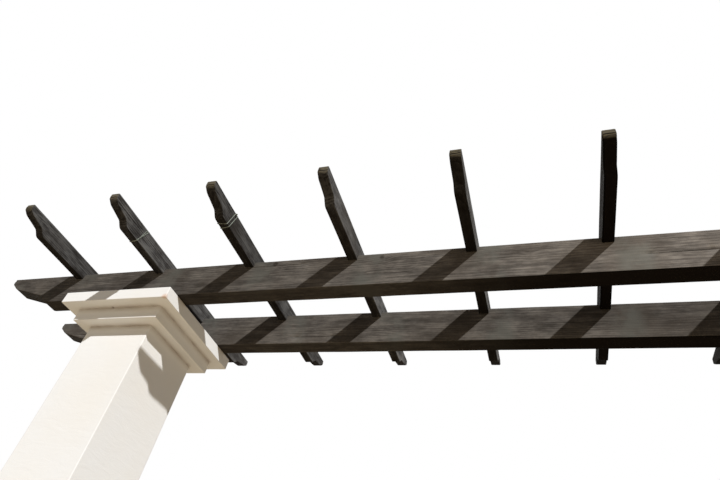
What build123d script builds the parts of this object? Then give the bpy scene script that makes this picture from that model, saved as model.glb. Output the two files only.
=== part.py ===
from build123d import *
import os

# Free-standing pergola: one row of rendered masonry piers carries two rows of timber beam,
# and rafters lie across the beams, cogged down over them.
# Millimetres. X runs along the row, Y across it from the near side to the far side, Z up.
# The origin is on the ground, below the middle of the structure.

# Setting out
bay_count = 2
rafter_count = 15
rafter_pitch = 600
pier_set_in = 444        # end rafter's centre line to the end pier's centre line
beam_end_reach = 550     # end rafter's centre line to the tip of a beam

# Piers, from the ground up: shaft, corbel course, slab
shaft_side = 428
shaft_height = 2903
corbel_height = 74
corbel_reach = 72        # corbel beyond the shaft
slab_height = 70
slab_reach = 76          # slab beyond the corbel
render_round = 8         # rounding of the upright edges
render_bevel = 4         # softening of the level edges

# Beams
beam_width = 98
beam_depth = 203
beam_spacing = 484       # from near face to near face
lap_length = 300         # half-lap joint over each inner pier
lap_gap = 1.5            # open joint at the ends of a lap

# Moulded beam end: plumb lip, sloped nose, long taper, ogee step down to full depth
beam_lip = 40
beam_nose_run = 60
beam_nose_drop = 44
beam_taper_run = 262
beam_taper_drop = 68
beam_step_run = 60
beam_lip_round = 20
beam_nose_round = 90
beam_step_round = 60

# Rafters
rafter_width = 52
rafter_depth = 106
rafter_overhang = 527    # beyond the outer face of each beam
cog_depth = 34           # how far a rafter is cut down over the beams
cog_clearance = 1        # on each side of a beam

# Moulded rafter end, of the same form as the beam's
rafter_lip = 32
rafter_nose_run = 30
rafter_nose_drop = 22
rafter_taper_run = 94
rafter_taper_drop = 20
rafter_step_run = 30
rafter_lip_round = 10
rafter_nose_round = 45
rafter_step_round = 28

timber_bevel = 2         # planed-off corners along the timbers

# Levels and lengths that follow
corbel_side = shaft_side + 2 * corbel_reach
slab_side = corbel_side + 2 * slab_reach
slab_level = shaft_height + corbel_height
bearing_level = slab_level + slab_height
beam_top = bearing_level + beam_depth
rafter_top = beam_top - cog_depth + rafter_depth
rafter_run = (rafter_count - 1) * rafter_pitch
beam_length = rafter_run + 2 * beam_end_reach
bay_length = (rafter_run - 2 * pier_set_in) / bay_count
rafter_length = beam_spacing + beam_width + 2 * rafter_overhang


# Corners of an end mould, each as a run in from the tip and a drop below the top edge
def end_mould(depth, lip, nose_run, nose_drop, taper_run, taper_drop, step_run):
    nose = (nose_run, lip + nose_drop)
    shoulder = (nose_run + taper_run, lip + nose_drop + taper_drop)
    heel = (nose_run + taper_run + step_run, depth)
    return [(0, lip), nose, shoulder, heel]


# A timber with the same mould on both ends: the plane's origin is the middle of its top edge
def moulded_timber(plane, length, width, depth, mould, mould_rounds):
    tip = -length / 2
    corners = [(tip + run, -drop) for run, drop in mould]
    with BuildPart() as timber:
        with BuildSketch(plane):
            with BuildLine():
                FilletPolyline((0, 0), (tip, 0), *corners, (0, -depth), radius=[0] + mould_rounds)
                mirror(about=Plane.YZ)
            make_face()
        extrude(amount=width / 2, both=True)
        sides = timber.faces().filter_by(Axis((0, 0, 0), plane.z_dir))
        chamfer([edge for side in sides for edge in side.edges()], timber_bevel)
    return timber.part


# The space that one timber of a beam fills between two inner piers: at a half-lap joint the
# timber on the left keeps its lower half, and the timber on the right keeps its upper half
def beam_stretch(y, left_lap, right_lap):
    middle = beam_top - beam_depth / 2
    lower = half_stretch(y, bearing_level, left_lap, right_lap, lap_gap, 0)
    upper = half_stretch(y, middle, left_lap, right_lap, -lap_length, -lap_length - lap_gap)
    return lower + upper


# The lower or upper half of that space, with its ends moved from the right-hand end of each lap
def half_stretch(y, level, left_lap, right_lap, start_shift, end_shift):
    start = -beam_length
    end = beam_length
    if left_lap is not None:
        start = left_lap + lap_length / 2 + start_shift
    if right_lap is not None:
        end = right_lap + lap_length / 2 + end_shift
    half = Box(end - start, 2 * beam_width, beam_depth / 2, align=(Align.MIN, Align.CENTER, Align.MIN))
    return Pos(start, y, level) * half


def beams():
    pieces = {}
    mould = end_mould(
        beam_depth, beam_lip, beam_nose_run, beam_nose_drop, beam_taper_run, beam_taper_drop, beam_step_run
    )
    mould_rounds = [beam_lip_round, beam_nose_round, beam_step_round, beam_step_round]
    laps = [None] + [pier_x(number) for number in range(1, bay_count)] + [None]
    rows = {"near_beam": -beam_spacing / 2, "far_beam": beam_spacing / 2}
    for row, y in rows.items():
        plane = Plane(origin=(0, y, beam_top), x_dir=(1, 0, 0), z_dir=(0, -1, 0))
        beam = moulded_timber(plane, beam_length, beam_width, beam_depth, mould, mould_rounds)
        for number in range(bay_count):
            pieces[f"{row}_{number + 1}"] = beam & beam_stretch(y, laps[number], laps[number + 1])
    return pieces


# One rafter, cut out underneath to sit down over both beams
def rafter(x):
    plane = Plane(origin=(x, 0, rafter_top), x_dir=(0, 1, 0), z_dir=(1, 0, 0))
    mould = end_mould(
        rafter_depth, rafter_lip, rafter_nose_run, rafter_nose_drop,
        rafter_taper_run, rafter_taper_drop, rafter_step_run,
    )
    mould_rounds = [rafter_lip_round, rafter_nose_round, rafter_step_round, rafter_step_round]
    timber = moulded_timber(plane, rafter_length, rafter_width, rafter_depth, mould, mould_rounds)
    cog_width = beam_width + 2 * cog_clearance
    cog = Box(rafter_width, cog_width, rafter_depth, align=(Align.CENTER, Align.CENTER, Align.MAX))
    for y in (-beam_spacing / 2, beam_spacing / 2):
        timber -= Pos(x, y, beam_top) * cog
    return timber


def pier_x(number):
    return (number - bay_count / 2) * bay_length


# A square rendered block that stands on a level, with softened edges where it projects
def rendered_block(side, height, level, projects):
    with BuildPart() as block:
        with Locations((0, 0, level)):
            Box(side, side, height, align=(Align.CENTER, Align.CENTER, Align.MIN))
        fillet(block.edges().filter_by(Axis.Z), render_round)
        if projects:
            chamfer(block.faces().filter_by(Axis.Z).edges(), render_bevel)
    return block.part


def pier(number):
    place = Pos(pier_x(number), 0, 0)
    return {
        f"pier_{number + 1}_shaft": place * rendered_block(shaft_side, shaft_height, 0, False),
        f"pier_{number + 1}_corbel": place * rendered_block(corbel_side, corbel_height, shaft_height, True),
        f"pier_{number + 1}_slab": place * rendered_block(slab_side, slab_height, slab_level, True),
    }


def pergola():
    pieces = {}
    for number in range(bay_count + 1):
        pieces.update(pier(number))
    pieces.update(beams())
    for number in range(rafter_count):
        pieces[f"rafter_{number + 1}"] = rafter(number * rafter_pitch - rafter_run / 2)
    return pieces


os.makedirs("parts", exist_ok=True)
for name, piece in pergola().items():
    export_step(piece, f"parts/{name}.step")
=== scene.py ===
import math
import random

import bmesh
import bpy
from mathutils import Euler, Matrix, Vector, noise


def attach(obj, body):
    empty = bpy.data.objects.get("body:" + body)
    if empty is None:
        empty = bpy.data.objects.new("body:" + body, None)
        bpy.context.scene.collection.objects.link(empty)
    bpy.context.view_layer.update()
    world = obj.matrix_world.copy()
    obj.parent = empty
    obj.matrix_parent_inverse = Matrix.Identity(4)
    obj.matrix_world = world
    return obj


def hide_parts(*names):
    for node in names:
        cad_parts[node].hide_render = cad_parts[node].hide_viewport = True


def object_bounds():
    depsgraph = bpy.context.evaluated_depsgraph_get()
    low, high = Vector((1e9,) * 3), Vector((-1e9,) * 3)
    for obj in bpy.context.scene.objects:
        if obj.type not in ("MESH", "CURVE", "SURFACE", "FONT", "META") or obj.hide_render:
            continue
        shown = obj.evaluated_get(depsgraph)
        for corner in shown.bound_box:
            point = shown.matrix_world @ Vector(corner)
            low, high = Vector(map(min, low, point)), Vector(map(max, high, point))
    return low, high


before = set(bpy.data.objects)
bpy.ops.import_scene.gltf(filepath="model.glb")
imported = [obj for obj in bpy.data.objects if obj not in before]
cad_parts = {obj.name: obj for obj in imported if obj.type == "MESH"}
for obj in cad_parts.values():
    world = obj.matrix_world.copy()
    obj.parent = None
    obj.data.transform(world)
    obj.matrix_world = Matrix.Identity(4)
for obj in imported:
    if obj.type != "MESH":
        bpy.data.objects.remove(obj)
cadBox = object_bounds()
mm = 0.001  # the scene is in metres, and sizes below are in millimetres unless a note says otherwise
print("frame loaded")


# An sRGB colour in hex, as linear channels
def toLinear(hexColour):
    channels = [int(hexColour[i:i + 2], 16) / 255 for i in (1, 3, 5)]
    return [c / 12.92 if c <= 0.04045 else ((c + 0.055) / 1.055) ** 2.4 for c in channels] + [1.0]


# The rows that nodes stand in
nodeGrid = {"columns": 12, "width": 200, "height": 260}


# Adds one node with its settings, its inputs (a value, a node or a socket each) and, on a ramp, its stops
def addNode(tree, kind, inputs=None, stops=None, **settings):
    node = tree.nodes.new(kind)
    row, column = divmod(len(tree.nodes), nodeGrid["columns"])
    node.location = (nodeGrid["width"] * column, -nodeGrid["height"] * row)
    for name, value in settings.items():
        setattr(node, name, value)
    for key, value in (inputs or {}).items():
        if isinstance(value, bpy.types.Node):
            value = next(output for output in value.outputs if output.enabled)
        if isinstance(value, bpy.types.NodeSocket):
            tree.links.new(value, node.inputs[key])
        else:
            node.inputs[key].default_value = value
    if stops:
        elements = node.color_ramp.elements
        while len(elements) < len(stops):
            elements.new(0.5)
        for element, (place, hexColour) in zip(elements, stops):
            element.position = place
            element.color = toLinear(hexColour)
    return node


def newMaterial(name):
    material = bpy.data.materials.new(name)
    material.use_nodes = True
    material.node_tree.nodes.clear()
    return material


# The end of a material: relief of a given strength and depth, and the surface with the rest of its values
def finishMaterial(material, colour, height, relief, surface):
    tree = material.node_tree
    strength, depth = relief
    bump = addNode(tree, "ShaderNodeBump", {"Strength": strength, "Distance": depth * mm, "Height": height})
    finish = addNode(tree, "ShaderNodeBsdfPrincipled", {"Base Color": colour, "Normal": bump, **surface})
    addNode(tree, "ShaderNodeOutputMaterial", {"Surface": finish})
    return material


def meshObject(name, mesh):
    piece = bpy.data.objects.new(name, mesh)
    bpy.context.scene.collection.objects.link(piece)
    return piece


# The camera stands near the first pier and looks up along the beams

view = {
    "place": (-1.4992, -2.1488, 1.4384),  # metres
    "turn": (133.818, -9.749, 16.329),  # degrees
    "lens": 26.53, "sensor": 36,
}

cameraData = bpy.data.cameras.new("camera")
cameraData.sensor_width = view["sensor"]
cameraData.lens = view["lens"]
camera = bpy.data.objects.new("camera", cameraData)
camera.location = view["place"]
camera.rotation_euler = Euler([math.radians(angle) for angle in view["turn"]])
bpy.context.scene.collection.objects.link(camera)
bpy.context.scene.camera = camera
print("camera placed")


# Stained softwood, sawn and left to weather. The stain has gone grey-brown and mottled where sun and rain
# reach it, and the hard lines of the grain show as short pale streaks. The faces turned from the sun's side
# are painted darker: painted shade. The undersides are painted near-black along their edges and in the middle
# of the structure, fading to brown towards its ends: painted shade. The open checks are painted dark inside:
# painted shade. Dust washed off the rafters has dried as smooth pale marks on the beams beside their feet. It
# is a dry finish that has lost its sheen; the paler middle of the near beams is a painted sheen. Three
# attributes of the mesh steer it: the heart of the log that a timber was sawn from; its tone, which on the
# near beams carries the painted sheen; and its wear, worn corners and open checks, which also places painted
# shade.

timberLook = {
    "beam": {
        "dark": "#33302c", "middle": "#494541", "pale": "#645f59", "patch": "#3e3832",
        "underShade": "#120e0b", "top": "#7a746c", "end": "#514b44", "wash": "#54544f",
        "underAtEnds": 0.0,  # how much of the painted near-black shade is left there
        "mottled": 0.49,  # how much of the pattern is cloudy rather than streaked
        "stops": (0.37, 0.49, 0.63),  # where the pattern is dark, middling and pale: closer is harsher
    },
    "rafter": {
        "dark": "#2b2927", "middle": "#424140", "pale": "#5c5b59", "patch": "#37332f",
        "underShade": "#120e0b", "top": "#726d66", "end": "#665e4a",
        "underAtEnds": 0.5, "mottled": 0.56, "stops": (0.42, 0.49, 0.57),
    },
    # the colour in the open checks is painted shade
    "check": "#0c0a08", "knot": "#231c17", "underEdgeShade": "#050404",
    "leeShade": "#25221f",  # painted shade on the faces turned from the sun's side
    "sunSide": (0.86, -0.28, 0.42),
    "underBrown": (1.35, 2.5),  # metres from the middle, where the painted shade on the undersides fades from near-black to brown
    "underMost": 0.96,  # and how much of that painted shade there is in the middle
    "shares": {
        # where a finish begins, where it is complete, and how much of it there is then: first by how far a
        # face looks towards the sun's side, up or along the timber, then by its wear, then by a noise
        "leeShade": (-0.15, -0.5, 0.8), "top": (0.55, 0.9, 0.6), "underShade": (-0.25, -0.7, 1.0),
        "upper": (-0.6, 0.0, 1.0), "end": (0.7, 0.95, 0.85),
        "edge": (0.0, 0.5, 0.85), "corner": (0.35, 1.0, 0.8), "check": (-0.1, -0.7, 1.0),
        "patch": (0.44, 0.68, 0.62), "smudge": (0.42, 0.6, 0.6),
    },
    "washPitch": 600, "washPlace": 90,  # between the rafters, and from a rafter's middle
    "washReach": (0.17, 0.05),  # of that pitch, where a wash mark begins and where it is full
    "streakWidth": 8,  # wider than the real 2 mm lines, so that it shows at this distance
    "streakStretch": 12,  # a streak's length over its width
    "mottle": 52, "mottleStretch": 2.5,
    "patchSize": 277.78, "smudgeSize": 142.86,
    "ringSpacing": 11,  # wider than the real 4 mm for the same reason
    "ringShare": 0.08,  # how much of the pattern is rings
    "lateWood": 0.8,  # how far through a ring its hard line is full
    "ringWarp": 32, "warpSize": 71.43,  # how far out of true, and from bend to bend
    "knotSpacing": 260,
    # of that spacing, where a knot is full and where it ends, and its share; then the same for the rings
    # that it pushes aside, by that many metres
    "knotCore": (0.045, 0.08, 0.6), "knotSwell": (0.05, 0.32, 0.016),
    "logStep": (71, 37, 53),  # keeps one log's grain clear of the next one's
    "sawPitch": 7,  # between the marks of the band saw
    "ringLift": 0.5, "sawLift": 0.12,  # beside the streaks' lift of 1
    "relief": (0.5, 1.6),  # strength, depth
    "surface": {"Roughness": 0.56, "IOR": 1.5, "Specular IOR Level": 0.008},
}
waveBand = 0.314  # a wave texture of scale 1 has a band every 0.314 metres


# along, across: the coordinates along and across the timbers
def makeTimber(name, colours, along, across):
    look = timberLook
    material = newMaterial(name)
    tree = material.node_tree
    place = addNode(tree, "ShaderNodeTexCoord").outputs["Object"]
    axes = addNode(tree, "ShaderNodeSeparateXYZ", {0: place}).outputs
    normal = addNode(tree, "ShaderNodeNewGeometry").outputs["Normal"]
    facing = addNode(tree, "ShaderNodeSeparateXYZ", {0: normal}).outputs
    wearAndShade = addNode(tree, "ShaderNodeAttribute", attribute_name="wearAndShade").outputs["Fac"]
    toneAndSheen = addNode(tree, "ShaderNodeAttribute", attribute_name="toneAndSheen").outputs["Fac"]
    heart = addNode(tree, "ShaderNodeAttribute", attribute_name="heart").outputs["Vector"]

    # each timber has its own stretch of grain, drawn out along its length
    shift = addNode(tree, "ShaderNodeVectorMath", {0: heart, 1: look["logStep"]}, operation="MULTIPLY")
    plain = addNode(tree, "ShaderNodeCombineXYZ", {0: axes[across], 1: axes["Z"], 2: axes[along]})
    plain = addNode(tree, "ShaderNodeVectorMath", {0: plain, 1: shift}, operation="ADD")
    grain, cloudy = [
        addNode(tree, "ShaderNodeVectorMath", {0: plain, 1: (1, 1, 1 / stretch)}, operation="MULTIPLY")
        for stretch in (look["streakStretch"], look["mottleStretch"])
    ]

    # knots push the rings aside
    knots = addNode(tree, "ShaderNodeTexVoronoi", {"Vector": plain, "Scale": 1 / (look["knotSpacing"] * mm)})
    knot, swell = [
        addNode(
            tree, "ShaderNodeMapRange", {0: knots, 1: full, 2: end, 3: most, 4: 0.0},
            interpolation_type="SMOOTHSTEP",
        )
        for full, end, most in (look["knotCore"], look["knotSwell"])
    ]

    # rings round the heart of the log
    warp = addNode(
        tree, "ShaderNodeTexNoise", {"Vector": grain, "Scale": 1 / (look["warpSize"] * mm), "Detail": 2.0}
    )
    warp = addNode(
        tree, "ShaderNodeMath", {0: warp, 1: look["ringWarp"] * mm, 2: swell}, operation="MULTIPLY_ADD"
    )
    flat = addNode(tree, "ShaderNodeCombineXYZ", {0: axes[across], 1: axes["Z"]})
    centre = addNode(tree, "ShaderNodeVectorMath", {0: heart, 1: (1, 1, 0)}, operation="MULTIPLY")
    rings = addNode(tree, "ShaderNodeVectorMath", {0: flat, 1: centre}, operation="DISTANCE")
    for operation, value in (("ADD", warp), ("MULTIPLY", 1 / (look["ringSpacing"] * mm)), ("FRACT", 0.0)):
        rings = addNode(tree, "ShaderNodeMath", {0: rings, 1: value}, operation=operation)
    rings = addNode(
        tree, "ShaderNodeMapRange", {0: rings, 1: 0.0, 2: look["lateWood"]}, interpolation_type="SMOOTHSTEP"
    )

    # streaks along the grain, cloudy mottling, and patches where the old stain still holds
    streaks, mottle, patches = [
        addNode(
            tree, "ShaderNodeTexNoise",
            {"Vector": vector, "Scale": 1 / (size * mm), "Detail": detail, "Roughness": roughness},
        )
        for vector, size, detail, roughness in (
            (grain, look["streakWidth"], 6.0, 0.74), (cloudy, look["mottle"], 4.0, 0.66),
            (plain, look["patchSize"], 4.0, 0.6),
        )
    ]
    streaked = 1 - look["ringShare"] - colours["mottled"]
    pattern = addNode(tree, "ShaderNodeMath", {0: streaks, 1: streaked}, operation="MULTIPLY")
    for part, share in ((mottle, colours["mottled"]), (rings, look["ringShare"])):
        pattern = addNode(tree, "ShaderNodeMath", {0: part, 1: share, 2: pattern}, operation="MULTIPLY_ADD")

    # how much there is of each finish
    # faces turned from the sun's side are mixed towards a dark colour: painted shade
    sunward = addNode(tree, "ShaderNodeVectorMath", {0: normal, 1: look["sunSide"]}, operation="DOT_PRODUCT")
    endward = addNode(tree, "ShaderNodeMath", {0: facing[along]}, operation="ABSOLUTE")
    measures = {
        "leeShade": sunward, "top": facing["Z"], "underShade": facing["Z"], "upper": facing["Z"], "end": endward,
        "edge": wearAndShade, "corner": wearAndShade, "check": wearAndShade, "patch": patches,
    }
    if "wash" in colours:
        measures["smudge"] = addNode(
            tree, "ShaderNodeTexNoise",
            {"Vector": plain, "Scale": 1 / (look["smudgeSize"] * mm), "Detail": 3.0, "Roughness": 0.55},
        )
    shares = {"knot": knot}
    for finish, measure in measures.items():
        start, full, most = look["shares"][finish]
        shares[finish] = addNode(tree, "ShaderNodeMapRange", {0: measure, 1: start, 2: full, 4: most})

    # the undersides' painted shade: near-black in the middle of the structure, fading towards its ends
    outward = addNode(tree, "ShaderNodeMath", {0: axes["X"]}, operation="ABSOLUTE")
    near, far = look["underBrown"]
    outward = addNode(
        tree, "ShaderNodeMapRange",
        {0: outward, 1: near, 2: far, 3: look["underMost"], 4: colours["underAtEnds"]},
        interpolation_type="SMOOTHSTEP",
    )
    for finish, factor in (("underShade", outward), ("corner", streaks), ("corner", shares["upper"])):
        shares[finish] = addNode(tree, "ShaderNodeMath", {0: shares[finish], 1: factor}, operation="MULTIPLY")

    # the sides: the pattern, patches of old stain and wash marks, all bleached together
    colour = addNode(
        tree, "ShaderNodeValToRGB", {0: pattern},
        stops=list(zip(colours["stops"], (colours["dark"], colours["middle"], colours["pale"]))),
    )
    layers = [(shares["patch"], colours["patch"])]
    if "wash" in colours:
        # how far a point is from the nearest mark, in rafter pitches
        span = axes["X"]
        for operation, value in (
            ("MULTIPLY", 1 / (look["washPitch"] * mm)), ("ADD", 0.5), ("FRACT", 0.0),
            ("SUBTRACT", 0.5 + look["washPlace"] / look["washPitch"]), ("ABSOLUTE", 0.0),
        ):
            span = addNode(tree, "ShaderNodeMath", {0: span, 1: value}, operation=operation)
        start, full = look["washReach"]
        washed = addNode(
            tree, "ShaderNodeMapRange", {0: span, 1: start, 2: full}, interpolation_type="SMOOTHSTEP"
        )
        washed = addNode(tree, "ShaderNodeMath", {0: washed, 1: shares["smudge"]}, operation="MULTIPLY")
        layers.append((washed, colours["wash"]))
    for share, tint in layers:
        colour = addNode(tree, "ShaderNodeMix", {0: share, 6: colour, 7: toLinear(tint)}, data_type="RGBA")
    # scaling by the tone paints the near beams paler towards the middle: a painted sheen
    colour = addNode(tree, "ShaderNodeVectorMath", {0: colour, "Scale": toneAndSheen}, operation="SCALE")

    # the other finishes, one over the other
    # the undersides' colour is painted shade, darkest along their edges
    black = addNode(
        tree, "ShaderNodeMix",
        {0: shares["edge"], 6: toLinear(colours["underShade"]), 7: toLinear(look["underEdgeShade"])}, data_type="RGBA",
    )
    endGrain = addNode(
        tree, "ShaderNodeValToRGB", {0: rings}, stops=[(0.0, colours["middle"]), (0.6, colours["end"])]
    )
    for finish, tint in (
        ("leeShade", toLinear(look["leeShade"])), ("top", toLinear(colours["top"])), ("underShade", black),
        ("end", endGrain), ("knot", toLinear(look["knot"])), ("corner", toLinear(colours["pale"])),
        ("check", toLinear(look["check"])),
    ):
        colour = addNode(tree, "ShaderNodeMix", {0: shares[finish], 6: colour, 7: tint}, data_type="RGBA")

    # raised grain and saw marks
    scale = waveBand / (look["sawPitch"] * mm)
    marks = addNode(
        tree, "ShaderNodeTexWave", {"Vector": plain, "Scale": scale, "Distortion": 3.0}, bands_direction="Z"
    )
    height = streaks
    for part, lift in ((rings, look["ringLift"]), (marks, look["sawLift"])):
        height = addNode(tree, "ShaderNodeMath", {0: part, 1: lift, 2: height}, operation="MULTIPLY_ADD")
    return finishMaterial(material, colour, height, look["relief"], look["surface"])


beamTimber = makeTimber("stainedSoftwoodBeam", timberLook["beam"], "X", "Y")
rafterTimber = makeTimber("stainedSoftwoodRafter", timberLook["rafter"], "Y", "X")
print("timber materials made")


# Sand and cement render, floated by hand and limewashed: a dry, chalky white with a fine grit, corners
# rounded by a few millimetres, a brown darkening in the inner corners that is part dust and part painted
# shade, and two small stains below the slab of the first pier

renderLook = {
    "wash": "#e9eaea", "warm": "#e8e6e1", "dustAndShade": "#72523a", "splash": "#cfc2ab",
    "grit": 2.5,  # coarser than the real 1 mm, so that it shows
    "floatMark": 120, "floatStretch": 3.2,  # strokes of the float, that much wider than high
    "patch": 700, "patchRange": (0.35, 0.7),
    "crevice": 50,  # how far the dust and painted shade reach out of an inner corner
    "dustAndShadeRange": (0.85, 0.42),  # how open to the air a point is where the dust and painted shade begin and where they are thick
    "splashHeight": 350, "splashMost": 0.9,
    "stains": (
        # place in metres, size, how strong, colour
        ((-3.795, -0.291, 2.977), 9, 0.75, "#4e3a28"),
        ((-3.404, -0.362, 2.979), 26, 0.5, "#c98d52"),
    ),
    "stainCore": 0.3,  # how much of a stain's size is its full colour
    "gritLift": 0.25, "relief": (0.45, 3),
    "surface": {"Roughness": 0.93, "IOR": 1.45, "Specular IOR Level": 0.1},
}


def makeRender():
    look = renderLook
    material = newMaterial("floatedLimeRender")
    tree = material.node_tree
    place = addNode(tree, "ShaderNodeTexCoord").outputs["Object"]
    axes = addNode(tree, "ShaderNodeSeparateXYZ", {0: place}).outputs
    grit = addNode(
        tree, "ShaderNodeTexNoise", {"Vector": place, "Scale": 1 / (look["grit"] * mm), "Detail": 2.0}
    )
    strokes = addNode(
        tree, "ShaderNodeMapping", {"Vector": place, "Scale": (1.0, 1.0, look["floatStretch"])}
    )
    floated = addNode(
        tree, "ShaderNodeTexNoise",
        {
            "Vector": strokes, "Scale": 1 / (look["floatMark"] * mm), "Detail": 5.0, "Roughness": 0.6,
            "Distortion": 0.6,
        },
    )
    patches = addNode(
        tree, "ShaderNodeTexNoise", {"Vector": place, "Scale": 1 / (look["patch"] * mm), "Detail": 3.0}
    )
    start, full = look["patchRange"]
    patches = addNode(tree, "ShaderNodeMapRange", {0: patches, 1: start, 2: full})
    # the inner corners are darkened brown by how hemmed in a point is: part dust, part painted shade
    hollow = addNode(
        tree, "ShaderNodeAmbientOcclusion", {"Distance": look["crevice"] * mm}, samples=8, only_local=False
    )
    start, full = look["dustAndShadeRange"]
    dustAndShade = addNode(tree, "ShaderNodeMapRange", {0: hollow.outputs["AO"], 1: start, 2: full})
    low = addNode(
        tree, "ShaderNodeMapRange",
        {0: axes["Z"], 1: look["splashHeight"] * mm, 2: 0.0, 3: 0.0, 4: look["splashMost"]},
        interpolation_type="SMOOTHSTEP",
    )
    dustAndShade, low = [
        addNode(tree, "ShaderNodeMath", {0: share, 1: floated}, operation="MULTIPLY") for share in (dustAndShade, low)
    ]

    layers = [(patches, look["warm"]), (dustAndShade, look["dustAndShade"]), (low, look["splash"])]
    for centre, size, strength, tint in look["stains"]:
        stain = addNode(tree, "ShaderNodeVectorMath", {0: place, 1: centre}, operation="DISTANCE")
        core = look["stainCore"] * size * mm
        stain = addNode(tree, "ShaderNodeMapRange", {0: stain, 1: size * mm, 2: core, 4: strength})
        layers.append((stain, tint))
    colour = toLinear(look["wash"])
    for share, tint in layers:
        colour = addNode(tree, "ShaderNodeMix", {0: share, 6: colour, 7: toLinear(tint)}, data_type="RGBA")

    height = addNode(
        tree, "ShaderNodeMath", {0: grit, 1: look["gritLift"], 2: floated}, operation="MULTIPLY_ADD"
    )
    return finishMaterial(material, colour, height, look["relief"], look["surface"])


pierRender = makeRender()
print("render material made")


# Hot-dipped galvanised steel, long outdoors: dull mottled zinc with rust that starts in the crevices

steelLook = {
    "fixing": {"pale": "#74756f", "dull": "#55564f", "rust": "#5a3a26", "metallic": 0.75},
    "wire": {"pale": "#83897d", "dull": "#5d6258", "rust": "#41382f", "metallic": 0.1},
    "mottle": 6,
    "stops": (0.3, 0.45, 0.7),  # where the mottling is rust, dull zinc and pale zinc
    "relief": (0.4, 0.4), "roughness": 0.55,
}


def makeSteel(name, colours):
    look = steelLook
    material = newMaterial(name)
    tree = material.node_tree
    place = addNode(tree, "ShaderNodeTexCoord").outputs["Object"]
    mottle = addNode(
        tree, "ShaderNodeTexNoise", {"Vector": place, "Scale": 1 / (look["mottle"] * mm), "Detail": 4.0}
    )
    colour = addNode(
        tree, "ShaderNodeValToRGB", {0: mottle},
        stops=list(zip(look["stops"], (colours["rust"], colours["dull"], colours["pale"]))),
    )
    surface = {"Metallic": colours["metallic"], "Roughness": look["roughness"]}
    return finishMaterial(material, colour, mottle, look["relief"], surface)


fixingSteel = makeSteel("galvanisedSteel", steelLook["fixing"])
wireSteel = makeSteel("galvanisedWire", steelLook["wire"])
print("steel materials made")


# Closes a row of rings into a solid
def joinLoops(shape, loops):
    for one, two in zip(loops, loops[1:]):
        for index in range(len(one)):
            after = (index + 1) % len(one)
            shape.faces.new((one[index], one[after], two[after], two[index]))
    shape.faces.new(loops[0])
    shape.faces.new(loops[-1])


def meshFrom(shape, name):
    bmesh.ops.recalc_face_normals(shape, faces=shape.faces)
    mesh = bpy.data.meshes.new(name)
    shape.to_mesh(mesh)
    shape.free()
    return mesh


# Timbers are drawn as rings of points along their length. Heights count down from the top of the timber.

timberShape = {
    "arrisSteps": 2, "mouldSteps": 4,
    "guard": 5,  # from a rounded corner to the first row beside it
    "sliver": 0.7,  # rows that a mould squeezes together stay this far apart
    "stationStep": 32,
    "tipShares": (0, 0.3, 1),  # the steps of the rounding round a timber's two ends
    "cutHalf": 0.3,  # half the run of a square step in the underside
    "flankWear": 0.7,  # wear beside a rounded corner, where the corner's own is 1
    "logsPerSeed": 100,
    "heartShift": (0.6, 1),  # shares of the height spread that a heart is off the middle
    "toneAndSheenPower": 3,  # a tone, and with it the near beams' painted sheen, changes most near the middle
}
# check rows are numbered from 1 on one side, then on top, then on the other side
topRow, farRow = 30, 60
alone = 1.0  # metres: the pitch for a mesh that holds a single timber


# A broken line with rounded corners, as points
def roundedLine(corners, rounds, steps):
    corners = [Vector(corner) for corner in corners]
    line = [corners[0]]
    for before, corner, after, radius in zip(corners, corners[1:], corners[2:], rounds):
        back = (before - corner).normalized()
        on = (after - corner).normalized()
        half = back.angle(on) / 2
        centre = corner + (back + on).normalized() * radius / math.sin(half)
        start = corner + back * radius / math.tan(half) - centre
        end = corner + on * radius / math.tan(half) - centre
        line += [centre + start.slerp(end, step / steps) * radius for step in range(steps + 1)]
    return line + [corners[-1]]


# The underside of a moulded end: (run in from the tip, depth below the top) at each point
def mouldLine(form):
    lip, (noseRun, noseDrop) = form["lip"], form["nose"]
    taperRun, taperDrop = form["taper"]
    corners = [
        (0, 0), (0, lip), (noseRun, lip + noseDrop), (noseRun + taperRun, lip + noseDrop + taperDrop),
        (noseRun + taperRun + form["stepRun"], form["depth"]), (form["length"], form["depth"]),
    ]
    return [tuple(point) for point in roundedLine(corners, form["rounds"], timberShape["mouldSteps"])[1:-1]]


# Side heights of one ring, kept in order and clear of its corners
def sideHeights(bottom, top, arris, rows):
    guard = arris + timberShape["guard"]
    wanted = [bottom + guard] + [height for height, wearAndShade, row in rows] + [top - guard]
    sliver = timberShape["sliver"]
    heights = []
    for index, height in enumerate(wanted):
        lowest = bottom + arris + sliver * (index + 1)
        highest = top - arris - sliver * (len(wanted) - index)
        heights.append(min(max(height, lowest), highest))
    return [bottom + arris] + heights + [top - arris]


# Each drying check has three rows of points, its own between two that stay flush: (place, wear, check row)
def checkRows(places, gap, first):
    return [
        (place + shift, wearAndShade, row) for row, place in enumerate(places, first)
        for shift, wearAndShade in ((-gap, 0.0), (0, -1.0), (gap, 0.0))
    ]


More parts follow.
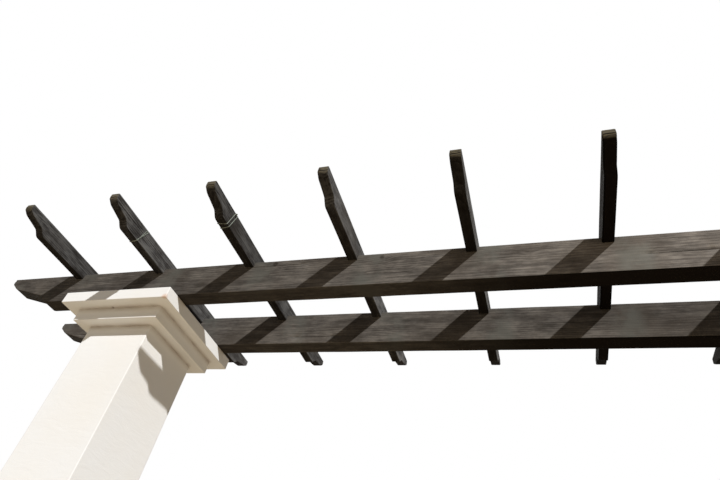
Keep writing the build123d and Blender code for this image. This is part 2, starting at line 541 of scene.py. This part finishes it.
# One ring: (across, height, wear, check row) for each of its points
def timberRing(form, bottom, top, inset):
    arris, half = form["arris"], form["width"] / 2 - inset
    bottom, top = bottom + inset, top - inset
    sideRows = checkRows(form["sideChecks"], form["checkGap"], 1)
    topRows = checkRows(form["topChecks"], form["checkGap"], topRow)
    heights = sideHeights(bottom, top, arris, sideRows)
    flank = timberShape["flankWear"]
    kinds = [(flank, 0), (0.0, 0)] + [(wearAndShade, row) for height, wearAndShade, row in sideRows] + [(0.0, 0), (flank, 0)]
    steps = timberShape["arrisSteps"]
    quarter = [(math.pi / 2) * step / steps for step in range(1, steps)]
    flatHalf = half - arris
    guard = flatHalf - timberShape["guard"]

    ring = [(half, height, wearAndShade, row) for height, (wearAndShade, row) in zip(heights, kinds)]
    ring += [(flatHalf + arris * math.cos(a), top - arris + arris * math.sin(a), 1.0, 0) for a in quarter]
    ring += [(flatHalf, top, flank, 0), (guard, top, 0.0, 0)]
    ring += [(place, top, wearAndShade, row) for place, wearAndShade, row in reversed(topRows)]
    ring += [(-guard, top, 0.0, 0), (-flatHalf, top, flank, 0)]
    ring += [(-flatHalf - arris * math.sin(a), top - arris + arris * math.cos(a), 1.0, 0) for a in quarter]
    ring += [(-half, height, wearAndShade, row + farRow if row else 0)
             for height, (wearAndShade, row) in zip(reversed(heights), reversed(kinds))]
    ring += [(-flatHalf - arris * math.cos(a), bottom + arris - arris * math.sin(a), 1.0, 0) for a in quarter]
    ring += [(-flatHalf, bottom, flank, 0), (-guard, bottom, 0.0, 0)]
    ring += [(guard, bottom, 0.0, 0), (flatHalf, bottom, flank, 0)]
    ring += [(flatHalf + arris * math.sin(a), bottom + arris - arris * math.cos(a), 1.0, 0) for a in quarter]
    return ring


# stations: (place along, bottom, top) in order; locate turns (along, across, height) into the frame's
# millimetres
def timberMesh(name, form, stations, locate):
    arris, angles = form["arris"], [share * math.pi / 2 for share in timberShape["tipShares"]]
    rounding = [(arris * (1 - math.cos(a)), arris * (1 - math.sin(a))) for a in angles]
    start, end = [
        [(tip + sign * run, bottom, top, inset) for run, inset in rounding[::sign]]
        for (tip, bottom, top), sign in ((stations[0], 1), (stations[-1], -1))
    ]
    rings = [(along, bottom, top, 0) for along, bottom, top in stations if start[-1][0] < along < end[0][0]]

    shape = bmesh.new()
    wearLayer = shape.verts.layers.float.new("wearAndShade")
    rowLayer = shape.verts.layers.int.new("checkRow")
    loops = []
    for along, bottom, top, inset in start + rings + end:
        loop = []
        for across, height, wearAndShade, row in timberRing(form, bottom, top, inset):
            vertex = shape.verts.new(Vector(locate(along, across, height)) * mm)
            vertex[wearLayer] = wearAndShade
            vertex[rowLayer] = row
            loop.append(vertex)
        loops.append(loop)
    joinLoops(shape, loops)
    return meshFrom(shape, name)


def stationsBetween(start, end):
    count = max(1, round((end - start) / timberShape["stationStep"]))
    return [start + (end - start) * index / count for index in range(1, count)]


# A node tree for geometry, inputs (label: kind) and a material, together with what it is given
def newTree(name, geometry, inputs):
    tree = bpy.data.node_groups.new(name, "GeometryNodeTree")
    for label, kind in {geometry: "Geometry", **inputs, "Finish": "Material"}.items():
        tree.interface.new_socket(label, in_out="INPUT", socket_type="NodeSocket" + kind)
    tree.interface.new_socket("Outcome", in_out="OUTPUT", socket_type="NodeSocketGeometry")
    return tree, addNode(tree, "NodeGroupInput").outputs


def endTree(tree, given, geometry):
    solid = addNode(tree, "GeometryNodeRealizeInstances", {"Geometry": geometry})
    painted = addNode(tree, "GeometryNodeSetMaterial", {"Geometry": solid, "Material": given["Finish"]})
    addNode(tree, "NodeGroupOutput", {0: painted})
    return tree


# Sets out copies of a piece in rows along and across the structure
def makeRowsTree():
    tree, given = newTree("setOutInRows", "Piece", {
        "Count Along": "Int", "Pitch Along": "Float", "Count Across": "Int", "Pitch Across": "Float",
        "Slip": "Float", "Turn": "Float", "Seed": "Int",
    })
    lines = []
    for axis, slot in (("Along", "X"), ("Across", "Y")):
        first = count = given["Count " + axis]
        for operation, value in (("SUBTRACT", 1.0), ("MULTIPLY", given["Pitch " + axis]), ("MULTIPLY", -0.5)):
            first = addNode(tree, "ShaderNodeMath", {0: first, 1: value}, operation=operation)
        start = addNode(tree, "ShaderNodeCombineXYZ", {slot: first})
        step = addNode(tree, "ShaderNodeCombineXYZ", {slot: given["Pitch " + axis]})
        lines.append(addNode(
            tree, "GeometryNodeMeshLine", {"Count": count, "Start Location": start, "Offset": step}
        ))
    # every copy is a little out of place and out of square
    offsets = []
    for label, slot in (("Slip", "X"), ("Turn", "Z")):
        back = addNode(tree, "ShaderNodeMath", {0: given[label], 1: -1.0}, operation="MULTIPLY")
        offset = addNode(
            tree, "FunctionNodeRandomValue", {2: back, 3: given[label], "Seed": given["Seed"]},
            data_type="FLOAT",
        )
        offsets.append(addNode(tree, "ShaderNodeCombineXYZ", {slot: offset.outputs[1]}))
    slip, turn = offsets
    across = addNode(tree, "GeometryNodeInstanceOnPoints", {"Points": lines[1], "Instance": given["Piece"]})
    points = addNode(tree, "GeometryNodeSetPosition", {"Geometry": lines[0], "Offset": slip})
    along = addNode(
        tree, "GeometryNodeInstanceOnPoints", {"Points": points, "Instance": across, "Rotation": turn}
    )
    return endTree(tree, given, along)


rowsTree = makeRowsTree()


# Runs a node tree on a piece and keeps the outcome as a plain mesh
def grown(piece, tree, values):
    modifier = piece.modifiers.new("grow", "NODES")
    modifier.node_group = tree
    sockets = {item.name: item.identifier for item in tree.interface.items_tree if item.in_out == "INPUT"}
    for name, value in values.items():
        modifier[sockets[name]] = value
    name = piece.name
    bpy.context.view_layer.update()
    mesh = bpy.data.meshes.new_from_object(piece.evaluated_get(bpy.context.evaluated_depsgraph_get()))
    mesh.name = name
    bpy.data.objects.remove(piece)
    return meshObject(name, mesh)


# How drying checks open and stray along their rows
checkShape = {
    "opens": 0.25,  # how much of its noise a check takes to open fully
    "drift": 2.5, "driftRate": 3.1,  # how far it strays, and how many times per metre
    "openSteps": (7.31, 3.17), "driftSteps": (2.13, 5.71),  # from row to row and from timber to timber
}


# Wears a surface back by hand: slow waves all over, and drying checks that open and close along their rows
def weather(piece, form, axis, pitch, seed):
    mesh = piece.data
    normals = [vertex.normal.copy() for vertex in mesh.vertices]
    rows = mesh.attributes.get("checkRow")
    wearAndShade = mesh.attributes.get("wearAndShade")
    across = 1 - axis
    for index, vertex in enumerate(mesh.vertices):
        place = vertex.co.copy()
        wave = max(0.0, 0.5 + 0.5 * noise.noise(place / (form["waveLength"] * mm) + Vector((seed, 0, 0))))
        vertex.co -= normals[index] * wave * form["wave"] * mm
        row = rows.data[index].value if rows else 0
        if row:
            number = round(place[across] / pitch)
            opens, strays = [
                noise.noise(Vector((place[axis] * rate, row * rowStep, number * timberStep + seed)))
                for rate, (rowStep, timberStep) in (
                    (form["checkRate"], checkShape["openSteps"]),
                    (checkShape["driftRate"], checkShape["driftSteps"]),
                )
            ]
            opening = min(1.0, max(0.0, (opens - form["checkFrom"]) / checkShape["opens"]))
            vertex.co[across if topRow <= row < farRow else 2] += checkShape["drift"] * mm * strays
            # the opening is also written on the mesh, and it places painted shade in the check
            if wearAndShade.data[index].value < 0:
                vertex.co -= normals[index] * opening * form["checkDepth"] * mm
                wearAndShade.data[index].value = -opening
        vertex.co = [min(max(value, low), high) for value, low, high in zip(vertex.co, *cadBox)]
    mesh.update()


# Writes on each point which log its timber was sawn from, and its tone from its tip to its middle, which on
# the near beams is a painted sheen
def markTimbers(piece, form, axis, middle, pitch, seed, tonesAndSheen):
    mesh = piece.data
    for label, kind in (("heart", "FLOAT_VECTOR"), ("toneAndSheen", "FLOAT")):
        mesh.attributes.new(label, kind, "POINT")
    heart, toneAndSheen = mesh.attributes["heart"], mesh.attributes["toneAndSheen"]
    spread, height, heightSpread = [value * mm for value in form["heart"]]
    reach = max(abs(vertex.co[axis]) for vertex in mesh.vertices)
    logs = {}
    for index, vertex in enumerate(mesh.vertices):
        number = round((vertex.co[1 - axis] - middle) / pitch)
        if number not in logs:
            chance = random.Random(timberShape["logsPerSeed"] * seed + number)
            centre = middle + number * pitch + spread * chance.uniform(-1, 1)
            shift = chance.uniform(*timberShape["heartShift"]) * chance.choice((-1, 1))
            log = (centre, height + heightSpread * shift, chance.random())
            logs[number] = (log, chance.uniform(1 - form["toneSpread"], 1 + form["toneSpread"]))
        log, shade = logs[number]
        heart.data[index].vector = log
        inward = min(1.0, (1 - abs(vertex.co[axis]) / reach) / form["toneAndSheenFrom"])
        inward **= timberShape["toneAndSheenPower"]
        toneAndSheen.data[index].value = shade * (tonesAndSheen[0] + (tonesAndSheen[1] - tonesAndSheen[0]) * inward)


sharpFrom = 50  # degrees


def dress(piece, material, slot=None, nodes=()):
    mesh = piece.data
    mesh.materials.clear()
    mesh.materials.append(material)
    mesh.shade_smooth()
    mesh.set_sharp_from_angle(angle=math.radians(sharpFrom))
    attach(piece, "root")
    if slot:
        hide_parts(*nodes)


# Beams: two rows, each in two lengths that are half-lapped over the middle pier. The near row is painted
# paler, most of all in the open middle: a painted sheen.

beamForm = {
    "top": 3250, "depth": 203, "width": 98, "spacing": 484, "length": 9500,
    "lip": 40, "nose": (60, 44), "taper": (262, 68), "stepRun": 60, "rounds": (20, 90, 60, 60),
    "lap": 300, "lapGap": 1.5,
    "arris": 3, "sideChecks": (-158, -112, -74, -34), "topChecks": (-19, 23), "checkGap": 1.5,
    "checkDepth": 7, "checkRate": 1.6, "checkFrom": 0.32,
    "wave": 1.6, "waveLength": 210,
    "heart": (24, 3148, 40), "toneSpread": 0.02, "toneAndSheenFrom": 0.84,
    "beams": (
        # name, node, side, left-hand length, seed, tone at the tip and at the joint (on the near row, a
        # painted sheen)
        ("nearBeamLeft", "near_beam_1", -1, True, 3, (1.0, 2.2)),
        ("nearBeamRight", "near_beam_2", -1, False, 9, (1.1, 2.0)),
        ("farBeamLeft", "far_beam_1", 1, True, 15, (1.26, 1.06)),
        ("farBeamRight", "far_beam_2", 1, False, 21, (1.2, 1.12)),
    ),
}


def makeBeam(name, node, side, leftHand, seed, tonesAndSheen):
    form = beamForm
    y = side * form["spacing"] / 2
    tip = -form["length"] / 2
    full, half = -form["depth"], -form["depth"] / 2
    shoulder, end = -form["lap"] / 2 - form["lapGap"], form["lap"] / 2
    step = timberShape["cutHalf"]
    # the left-hand length keeps its lower half at the joint, and the right-hand one its upper half
    tongue = (full, half) if leftHand else (half, 0)
    stations = [(tip + run, -drop, 0) for run, drop in mouldLine(form)]
    stations += [(along, full, 0) for along in stationsBetween(stations[-1][0], shoulder)]
    stations += [(shoulder - step, full, 0), (shoulder + step, *tongue)]
    stations += [(along, *tongue) for along in stationsBetween(shoulder, end)] + [(end, *tongue)]
    hand = 1 if leftHand else -1

    def locate(along, across, height):
        return hand * along, y - hand * across, form["top"] + height

    piece = meshObject(name, timberMesh(name, form, stations, locate))
    weather(piece, form, 0, alone, seed)
    markTimbers(piece, form, 0, y * mm, alone, seed, tonesAndSheen)
    dress(piece, beamTimber, "beam_timber", [node])


for beam in beamForm["beams"]:
    makeBeam(*beam)
print("beams made")


# Rafters: one timber, set out fifteen times, cogged down over both beams

rafterForm = {
    "top": 3322, "depth": 106, "width": 52, "length": 1636, "count": 15, "pitch": 600,
    "lip": 32, "nose": (30, 22), "taper": (94, 20), "stepRun": 30, "rounds": (10, 45, 28, 28),
    "cog": 34, "cogWidth": 100,
    "arris": 3, "sideChecks": (-64, -42, -22), "topChecks": (5,), "checkGap": 1.2,
    "checkDepth": 5, "checkRate": 2.1, "checkFrom": 0.2,
    "wave": 1.2, "waveLength": 150,
    "heart": (14, 3269, 90), "toneSpread": 0.36, "tonesAndSheen": (1.03, 1.2), "toneAndSheenFrom": 1.0,
    "slip": 1.5,  # how far off its mark a rafter lies
    "turn": 0.12,  # degrees out of square
    "seed": 7, "wearSeed": 4.6, "logSeed": 1372,
}


# Where the copies of a piece go, for the tree that sets them out
def setOut(count, pitch, rows, rowPitch, finish, slip=0.0, turn=0.0, seed=1):
    return {
        "Count Along": count, "Pitch Along": pitch * mm, "Count Across": rows, "Pitch Across": rowPitch * mm,
        "Slip": slip * mm, "Turn": math.radians(turn), "Seed": seed, "Finish": finish,
    }


def makeRafters():
    form = rafterForm
    tip = -form["length"] / 2
    mould = [(tip + run, -drop, 0) for run, drop in mouldLine(form)]
    full, cut = -form["depth"], form["cog"] - form["depth"]
    near = -beamForm["spacing"] / 2
    cogStart, cogEnd = near - form["cogWidth"] / 2, near + form["cogWidth"] / 2
    step = timberShape["cutHalf"]
    half = mould + [(along, full, 0) for along in stationsBetween(mould[-1][0], cogStart)]
    half += [(cogStart - step, full, 0), (cogStart + step, cut, 0)]
    half += [(along, cut, 0) for along in stationsBetween(cogStart, cogEnd)]
    half += [(cogEnd - step, cut, 0), (cogEnd + step, full, 0)]
    half += [(along, full, 0) for along in stationsBetween(cogEnd, 0)]
    stations = half + [(0, full, 0)] + [(-along, bottom, top) for along, bottom, top in reversed(half)]

    def locate(along, across, height):
        return across, along, form["top"] + height

    piece = meshObject("rafters", timberMesh("rafter", form, stations, locate))
    piece = grown(piece, rowsTree, setOut(
        form["count"], form["pitch"], 1, 0, rafterTimber, form["slip"], form["turn"], form["seed"]
    ))
    weather(piece, form, 1, form["pitch"] * mm, form["wearSeed"])
    markTimbers(piece, form, 1, 0.0, form["pitch"] * mm, form["logSeed"], form["tonesAndSheen"])
    dress(piece, rafterTimber, "rafter_timber", [f"rafter_{number + 1}" for number in range(form["count"])])
    return piece


rafters = makeRafters()
print("rafters made")


# Piers: a shaft, a corbel course and a slab, each floated by eye, so no face is quite flat

pierForm = {
    "count": 3, "pitch": 3756,
    "courses": (
        # node, side, from, to, softened edge below, softened edge above
        ("shaft", 428, 0, 2903, False, False), ("corbel", 572, 2903, 2977, True, False),
        ("slab", 724, 2977, 3047, True, True),
    ),
    "key": 6,  # how far a course runs up into the next
    "corner": 3.5, "cornerSteps": 3,
    "cornerLeast": 2, "cornerLoss": 0.3,  # on level faces corners get tighter by that share of the inset
    "guard": 4,  # from a rounded corner to the first column beside it, for a flat face
    "soften": 3.5, "softSteps": 3, "softGuard": 2,
    "faceStep": 48, "leastSteps": 4,
    "levelFrom": 30, "levelTo": 20, "levelStep": 45,  # rings on level faces: from the middle, to the edge
    "wave": 1.8, "waveLength": 260, "seed": 2.0,
}


# A level ring round a square with rounded corners
def squareRing(half, corner, perFace):
    ring = []
    reach = half - corner
    guard = min(pierForm["guard"], reach / perFace)
    stops = [reach * (2 * step / perFace - 1) for step in range(1, perFace)]
    stops = [guard - reach] + stops + [reach - guard]
    steps = pierForm["cornerSteps"]
    for quarter in range(4):
        points = [(half, stop) for stop in stops]
        for step in range(steps + 1):
            angle = (math.pi / 2) * step / steps
            points.append((reach + corner * math.cos(angle), reach + corner * math.sin(angle)))
        cosine, sine = math.cos(quarter * math.pi / 2), math.sin(quarter * math.pi / 2)
        ring += [(x * cosine - y * sine, x * sine + y * cosine) for x, y in points]
    return ring


# The outline of one course from the middle of its underside to the middle of its top: (inset, height) pairs
def courseOutline(half, low, high, softLow, softHigh):
    form = pierForm
    soften, steps = form["soften"], form["softSteps"]
    arc = [(math.pi / 2) * step / steps for step in range(steps + 1)]
    edge = [(soften * (1 - math.sin(a)), soften * (1 - math.cos(a))) for a in arc]
    insets = range(int(half) - form["levelFrom"], form["levelTo"], -form["levelStep"])
    below = [(inset, low + rise) for inset, rise in edge] if softLow else [(0, low)]
    above = [(inset, high - drop) for inset, drop in reversed(edge)] if softHigh else [(0, high)]
    rows = max(1, round((high - low) / form["faceStep"]))
    start, end = low + soften + form["softGuard"], high - soften - form["softGuard"]
    face = [(0, start + (end - start) * step / rows) for step in range(rows + 1)]
    outline = [(inset, low) for inset in insets] + below + face + above
    return outline + [(inset, high) for inset in reversed(insets)]


def makePiers():
    form = pierForm
    shape = bmesh.new()
    for course, side, low, high, softLow, softHigh in form["courses"]:
        half = side / 2
        perFace = max(form["leastSteps"], round(side / form["faceStep"]))
        top = high if softHigh else high + form["key"]
        loops = []
        for inset, height in courseOutline(half, low, top, softLow, softHigh):
            corner = max(form["cornerLeast"], form["corner"] - form["cornerLoss"] * inset)
            ring = squareRing(half - inset, corner, perFace)
            loops.append([shape.verts.new((x * mm, y * mm, height * mm)) for x, y in ring])
        joinLoops(shape, loops)
    piece = grown(meshObject("piers", meshFrom(shape, "pier")), rowsTree, setOut(
        form["count"], form["pitch"], 1, 0, pierRender
    ))
    weather(piece, form, 0, form["pitch"] * mm, form["seed"])
    courses = [course[0] for course in form["courses"]]
    nodes = [f"pier_{number + 1}_{course}" for number in range(form["count"]) for course in courses]
    dress(piece, pierRender, "pier_render", nodes)


makePiers()
print("piers made")


# Holding-down bolts: on each beam over each pier a pair of rod ends with a square washer plate and a nut

boltForm = {
    # place from the pier's middle along and across the beam, and degrees that washer and nut are turned
    "bolts": (((-90, 0), 45, 8), ((90, 1.5), 49, 37)),
    # outlines and the tip: in from the corners and down from the top, which is that high above the timber
    "washer": {"across": 50, "sides": 4, "top": 5, "outline": ((0, 7), (0, 1.5), (2.1, 0))},
    "nut": {"across": 19, "sides": 6, "top": 15, "outline": ((1.2, 10.2), (0, 9), (0, 1), (1.2, 0))},
    "hole": 5,
    "rod": {"across": 12, "sides": 14, "top": 24, "tip": ((0.8, 1), (5, 0))},
    "threads": 4, "thread": 1.75, "threadDepth": 0.6, "threadFrom": 1,
}


# Adds a solid of rings round an upright axis: outline is a list of (radius, height), from the bottom up
def addTurned(shape, outline, sides, centre, turn=0.0):
    angles = [math.radians(turn) + 2 * math.pi * step / sides for step in range(sides)]
    loops = []
    for radius, height in outline:
        ring = [(centre[0] + radius * math.cos(a), centre[1] + radius * math.sin(a), height) for a in angles]
        loops.append([shape.verts.new([value * mm for value in point]) for point in ring])
    joinLoops(shape, loops)


def makeBolts():
    form = boltForm
    shape = bmesh.new()
    timber, rod = beamForm["top"], form["rod"]
    radius, nutTop = rod["across"] / 2, timber + form["nut"]["top"]
    root = radius - form["threadDepth"]
    threaded = [(root, nutTop - form["threadFrom"])]
    for step in range(form["threads"]):
        start = nutTop + step * form["thread"]
        threaded += [(root, start), (radius, start + form["thread"] / 2)]
    threaded += [(radius - inward, timber + rod["top"] - down) for inward, down in rod["tip"]]
    for centre, *turns in form["bolts"]:
        for part, turn in zip((form["washer"], form["nut"]), turns):
            corner, top = part["across"] / 2 / math.cos(math.pi / part["sides"]), timber + part["top"]
            outline = [(corner - inward, top - down) for inward, down in part["outline"]]
            addTurned(shape, outline + [(form["hole"], top)], part["sides"], centre, turn)
        addTurned(shape, threaded, rod["sides"], centre)
    piece = grown(meshObject("holdingDownBolts", meshFrom(shape, "bolts")), rowsTree, setOut(
        pierForm["count"], pierForm["pitch"], 2, beamForm["spacing"], fixingSteel
    ))
    dress(piece, fixingSteel)


makeBolts()


# Nails: two through each rafter into each beam, their dished heads driven just below the highest grain

nailForm = {
    "head": 11, "sides": 10, "sunk": 0.3, "apart": (11, 24),
    "outline": ((0, 3), (0, 0.5), (0.6, 0), (2.5, 0.3)),  # in from the rim and down from the top
}


def makeNails():
    form = nailForm
    shape = bmesh.new()
    half, level = form["head"] / 2, rafterForm["top"] - form["sunk"]
    outline = [(half - inward, level - down) for inward, down in form["outline"]]
    for side in (-1, 1):
        addTurned(shape, outline, form["sides"], [side * apart for apart in form["apart"]])
    piece = grown(meshObject("rafterNails", meshFrom(shape, "nails")), rowsTree, setOut(
        rafterForm["count"], rafterForm["pitch"], 2, beamForm["spacing"], fixingSteel,
        rafterForm["slip"], rafterForm["turn"], rafterForm["seed"],
    ))
    dress(piece, fixingSteel)


makeNails()
print("bolts and nails made")


# Wire ties: loops of wire drawn tight round two of the rafters, slanting as they were wound

wireForm = {
    "thickness": 4.6, "bite": 1.4, "bend": 3,
    "loops": (
        # rafter, place across the structure at its bottom and top edge, and how much further the back is
        (2, -571, -526, 9), (2, -566, -541, 4), (3, -622, -596, -7), (3, -601, -574, 6),
    ),
    "beside": 40,  # how far on each side of a loop the rafter is measured
    "tail": {
        "rafter": 3, "from": -587, "sunk": 2, "below": 3, "length": 17, "way": (0.72, -0.58, -0.38),
        "twist": 2.4, "turns": 1.5, "steps": 20,
    },
}


# Draws a round wire along each path, with rounded bends
def makeWireTree():
    tree, given = newTree("drawWire", "Paths", {"Wire Radius": "Float", "Bend Radius": "Float"})
    bent = addNode(
        tree, "GeometryNodeFilletCurve",
        {"Curve": given["Paths"], "Count": 3, "Radius": given["Bend Radius"], "Limit Radius": True},
        mode="POLY",
    )
    section = addNode(
        tree, "GeometryNodeCurvePrimitiveCircle", {"Resolution": 7, "Radius": given["Wire Radius"]}
    )
    wires = addNode(
        tree, "GeometryNodeCurveToMesh", {"Curve": bent, "Profile Curve": section, "Fill Caps": True}
    )
    return endTree(tree, given, wires)


# The faces of a rafter beside a tie, in millimetres: left, right
def rafterFaces(number, y):
    middle = (number - 1 - (rafterForm["count"] - 1) / 2) * rafterForm["pitch"]
    points = [(vertex.co.x / mm, vertex.co.y / mm) for vertex in rafters.data.vertices]
    width, beside = rafterForm["width"], wireForm["beside"]
    across = [place for place, along in points if abs(place - middle) < width and abs(along - y) < beside]
    return min(across), max(across)


def makeWireTies():
    form = wireForm
    out = form["thickness"] / 2 - form["bite"]
    low = rafterForm["top"] - rafterForm["depth"] - out
    high = rafterForm["top"] - form["thickness"] / 2
    paths = []
    for number, bottomPlace, topPlace, back in form["loops"]:
        left, right = rafterFaces(number, (bottomPlace + topPlace) / 2)
        paths.append(([
            (right + out, bottomPlace, low), (right + out, topPlace, high),
            (left - out, topPlace + back, high), (left - out, bottomPlace + back, low),
        ], True))
    tail = form["tail"]
    right = rafterFaces(tail["rafter"], tail["from"])[1]
    way = Vector(tail["way"]).normalized()
    sideways = way.cross(Vector((0, 0, 1))).normalized()
    upward = sideways.cross(way)
    start = Vector((right - tail["sunk"], tail["from"], high - tail["below"]))
    for strand in (0, math.pi):
        points = []
        for step in range(tail["steps"] + 1):
            share = step / tail["steps"]
            angle = strand + 2 * math.pi * tail["turns"] * share
            spread = tail["twist"] * (sideways * math.cos(angle) + upward * math.sin(angle))
            points.append(start + way * tail["length"] * share + spread)
        paths.append((points, False))
    curve = bpy.data.curves.new("wireTies", "CURVE")
    curve.dimensions = "3D"
    for points, closed in paths:
        spline = curve.splines.new("POLY")
        spline.points.add(len(points) - 1)
        for point, place in zip(spline.points, points):
            point.co = [value * mm for value in place] + [1.0]
        spline.use_cyclic_u = closed
    piece = grown(meshObject("wireTies", curve), makeWireTree(), {
        "Wire Radius": form["thickness"] / 2 * mm, "Bend Radius": form["bend"] * mm, "Finish": wireSteel,
    })
    dress(piece, wireSteel)


makeWireTies()
print("wire ties made")


# Floor, sky and sun

lightForm = {
    "floor": "#cfbb9c",  # what the floor throws back up
    "floorSeen": "#f1eee9",  # what the camera sees of it
    "floorSides": 96, "floorReach": 240,  # metres
    "sky": 0.21, "skyTint": "#dce6fa",  # what the sky lights, while the camera sees white
    "sun": 4.08,
    "sunSize": 1.0,  # degrees
    "sunWay": (-0.93, 1.09, -1.0),
}


def makeStage():
    form = lightForm
    floorMesh = bpy.data.meshes.new("floor")
    reach, sides = form["floorReach"], form["floorSides"]
    angles = [2 * math.pi * side / sides for side in range(sides)]
    rim = [(reach * math.cos(a), reach * math.sin(a), 0) for a in angles]
    floorMesh.from_pydata(rim, [], [range(sides)])
    floor = meshObject("floor", floorMesh)
    paleFloor = newMaterial("paleFloor")
    tree = paleFloor.node_tree
    path = addNode(tree, "ShaderNodeLightPath").outputs
    colour = addNode(
        tree, "ShaderNodeMix",
        {0: path["Is Camera Ray"], 6: toLinear(form["floor"]), 7: toLinear(form["floorSeen"])},
        data_type="RGBA",
    )
    finish = addNode(tree, "ShaderNodeBsdfDiffuse", {"Color": colour})
    addNode(tree, "ShaderNodeOutputMaterial", {"Surface": finish})
    floorMesh.materials.append(paleFloor)

    world = bpy.data.worlds.new("paleSky")
    bpy.context.scene.world = world
    world.use_nodes = True
    tree = world.node_tree
    tree.nodes.clear()
    path = addNode(tree, "ShaderNodeLightPath").outputs
    seen = path["Is Camera Ray"]
    for kind in ("Is Glossy Ray", "Is Transmission Ray"):
        seen = addNode(tree, "ShaderNodeMath", {0: seen, 1: path[kind]}, operation="ADD", use_clamp=True)
    strength = addNode(tree, "ShaderNodeMapRange", {0: seen, 3: form["sky"]})
    tint = addNode(
        tree, "ShaderNodeMix", {0: seen, 6: toLinear(form["skyTint"]), 7: (1, 1, 1, 1)}, data_type="RGBA"
    )
    sky = addNode(tree, "ShaderNodeBackground", {"Color": tint, "Strength": strength})
    addNode(tree, "ShaderNodeOutputWorld", {"Surface": sky})

    sunData = bpy.data.lights.new("sun", "SUN")
    sunData.energy = form["sun"]
    sunData.angle = math.radians(form["sunSize"])
    sun = bpy.data.objects.new("sun", sunData)
    sun.rotation_euler = Vector(form["sunWay"]).to_track_quat("-Z", "Y").to_euler()
    bpy.context.scene.collection.objects.link(sun)


makeStage()
bpy.context.scene.view_settings.view_transform = "Standard"
print("stage and lights made")
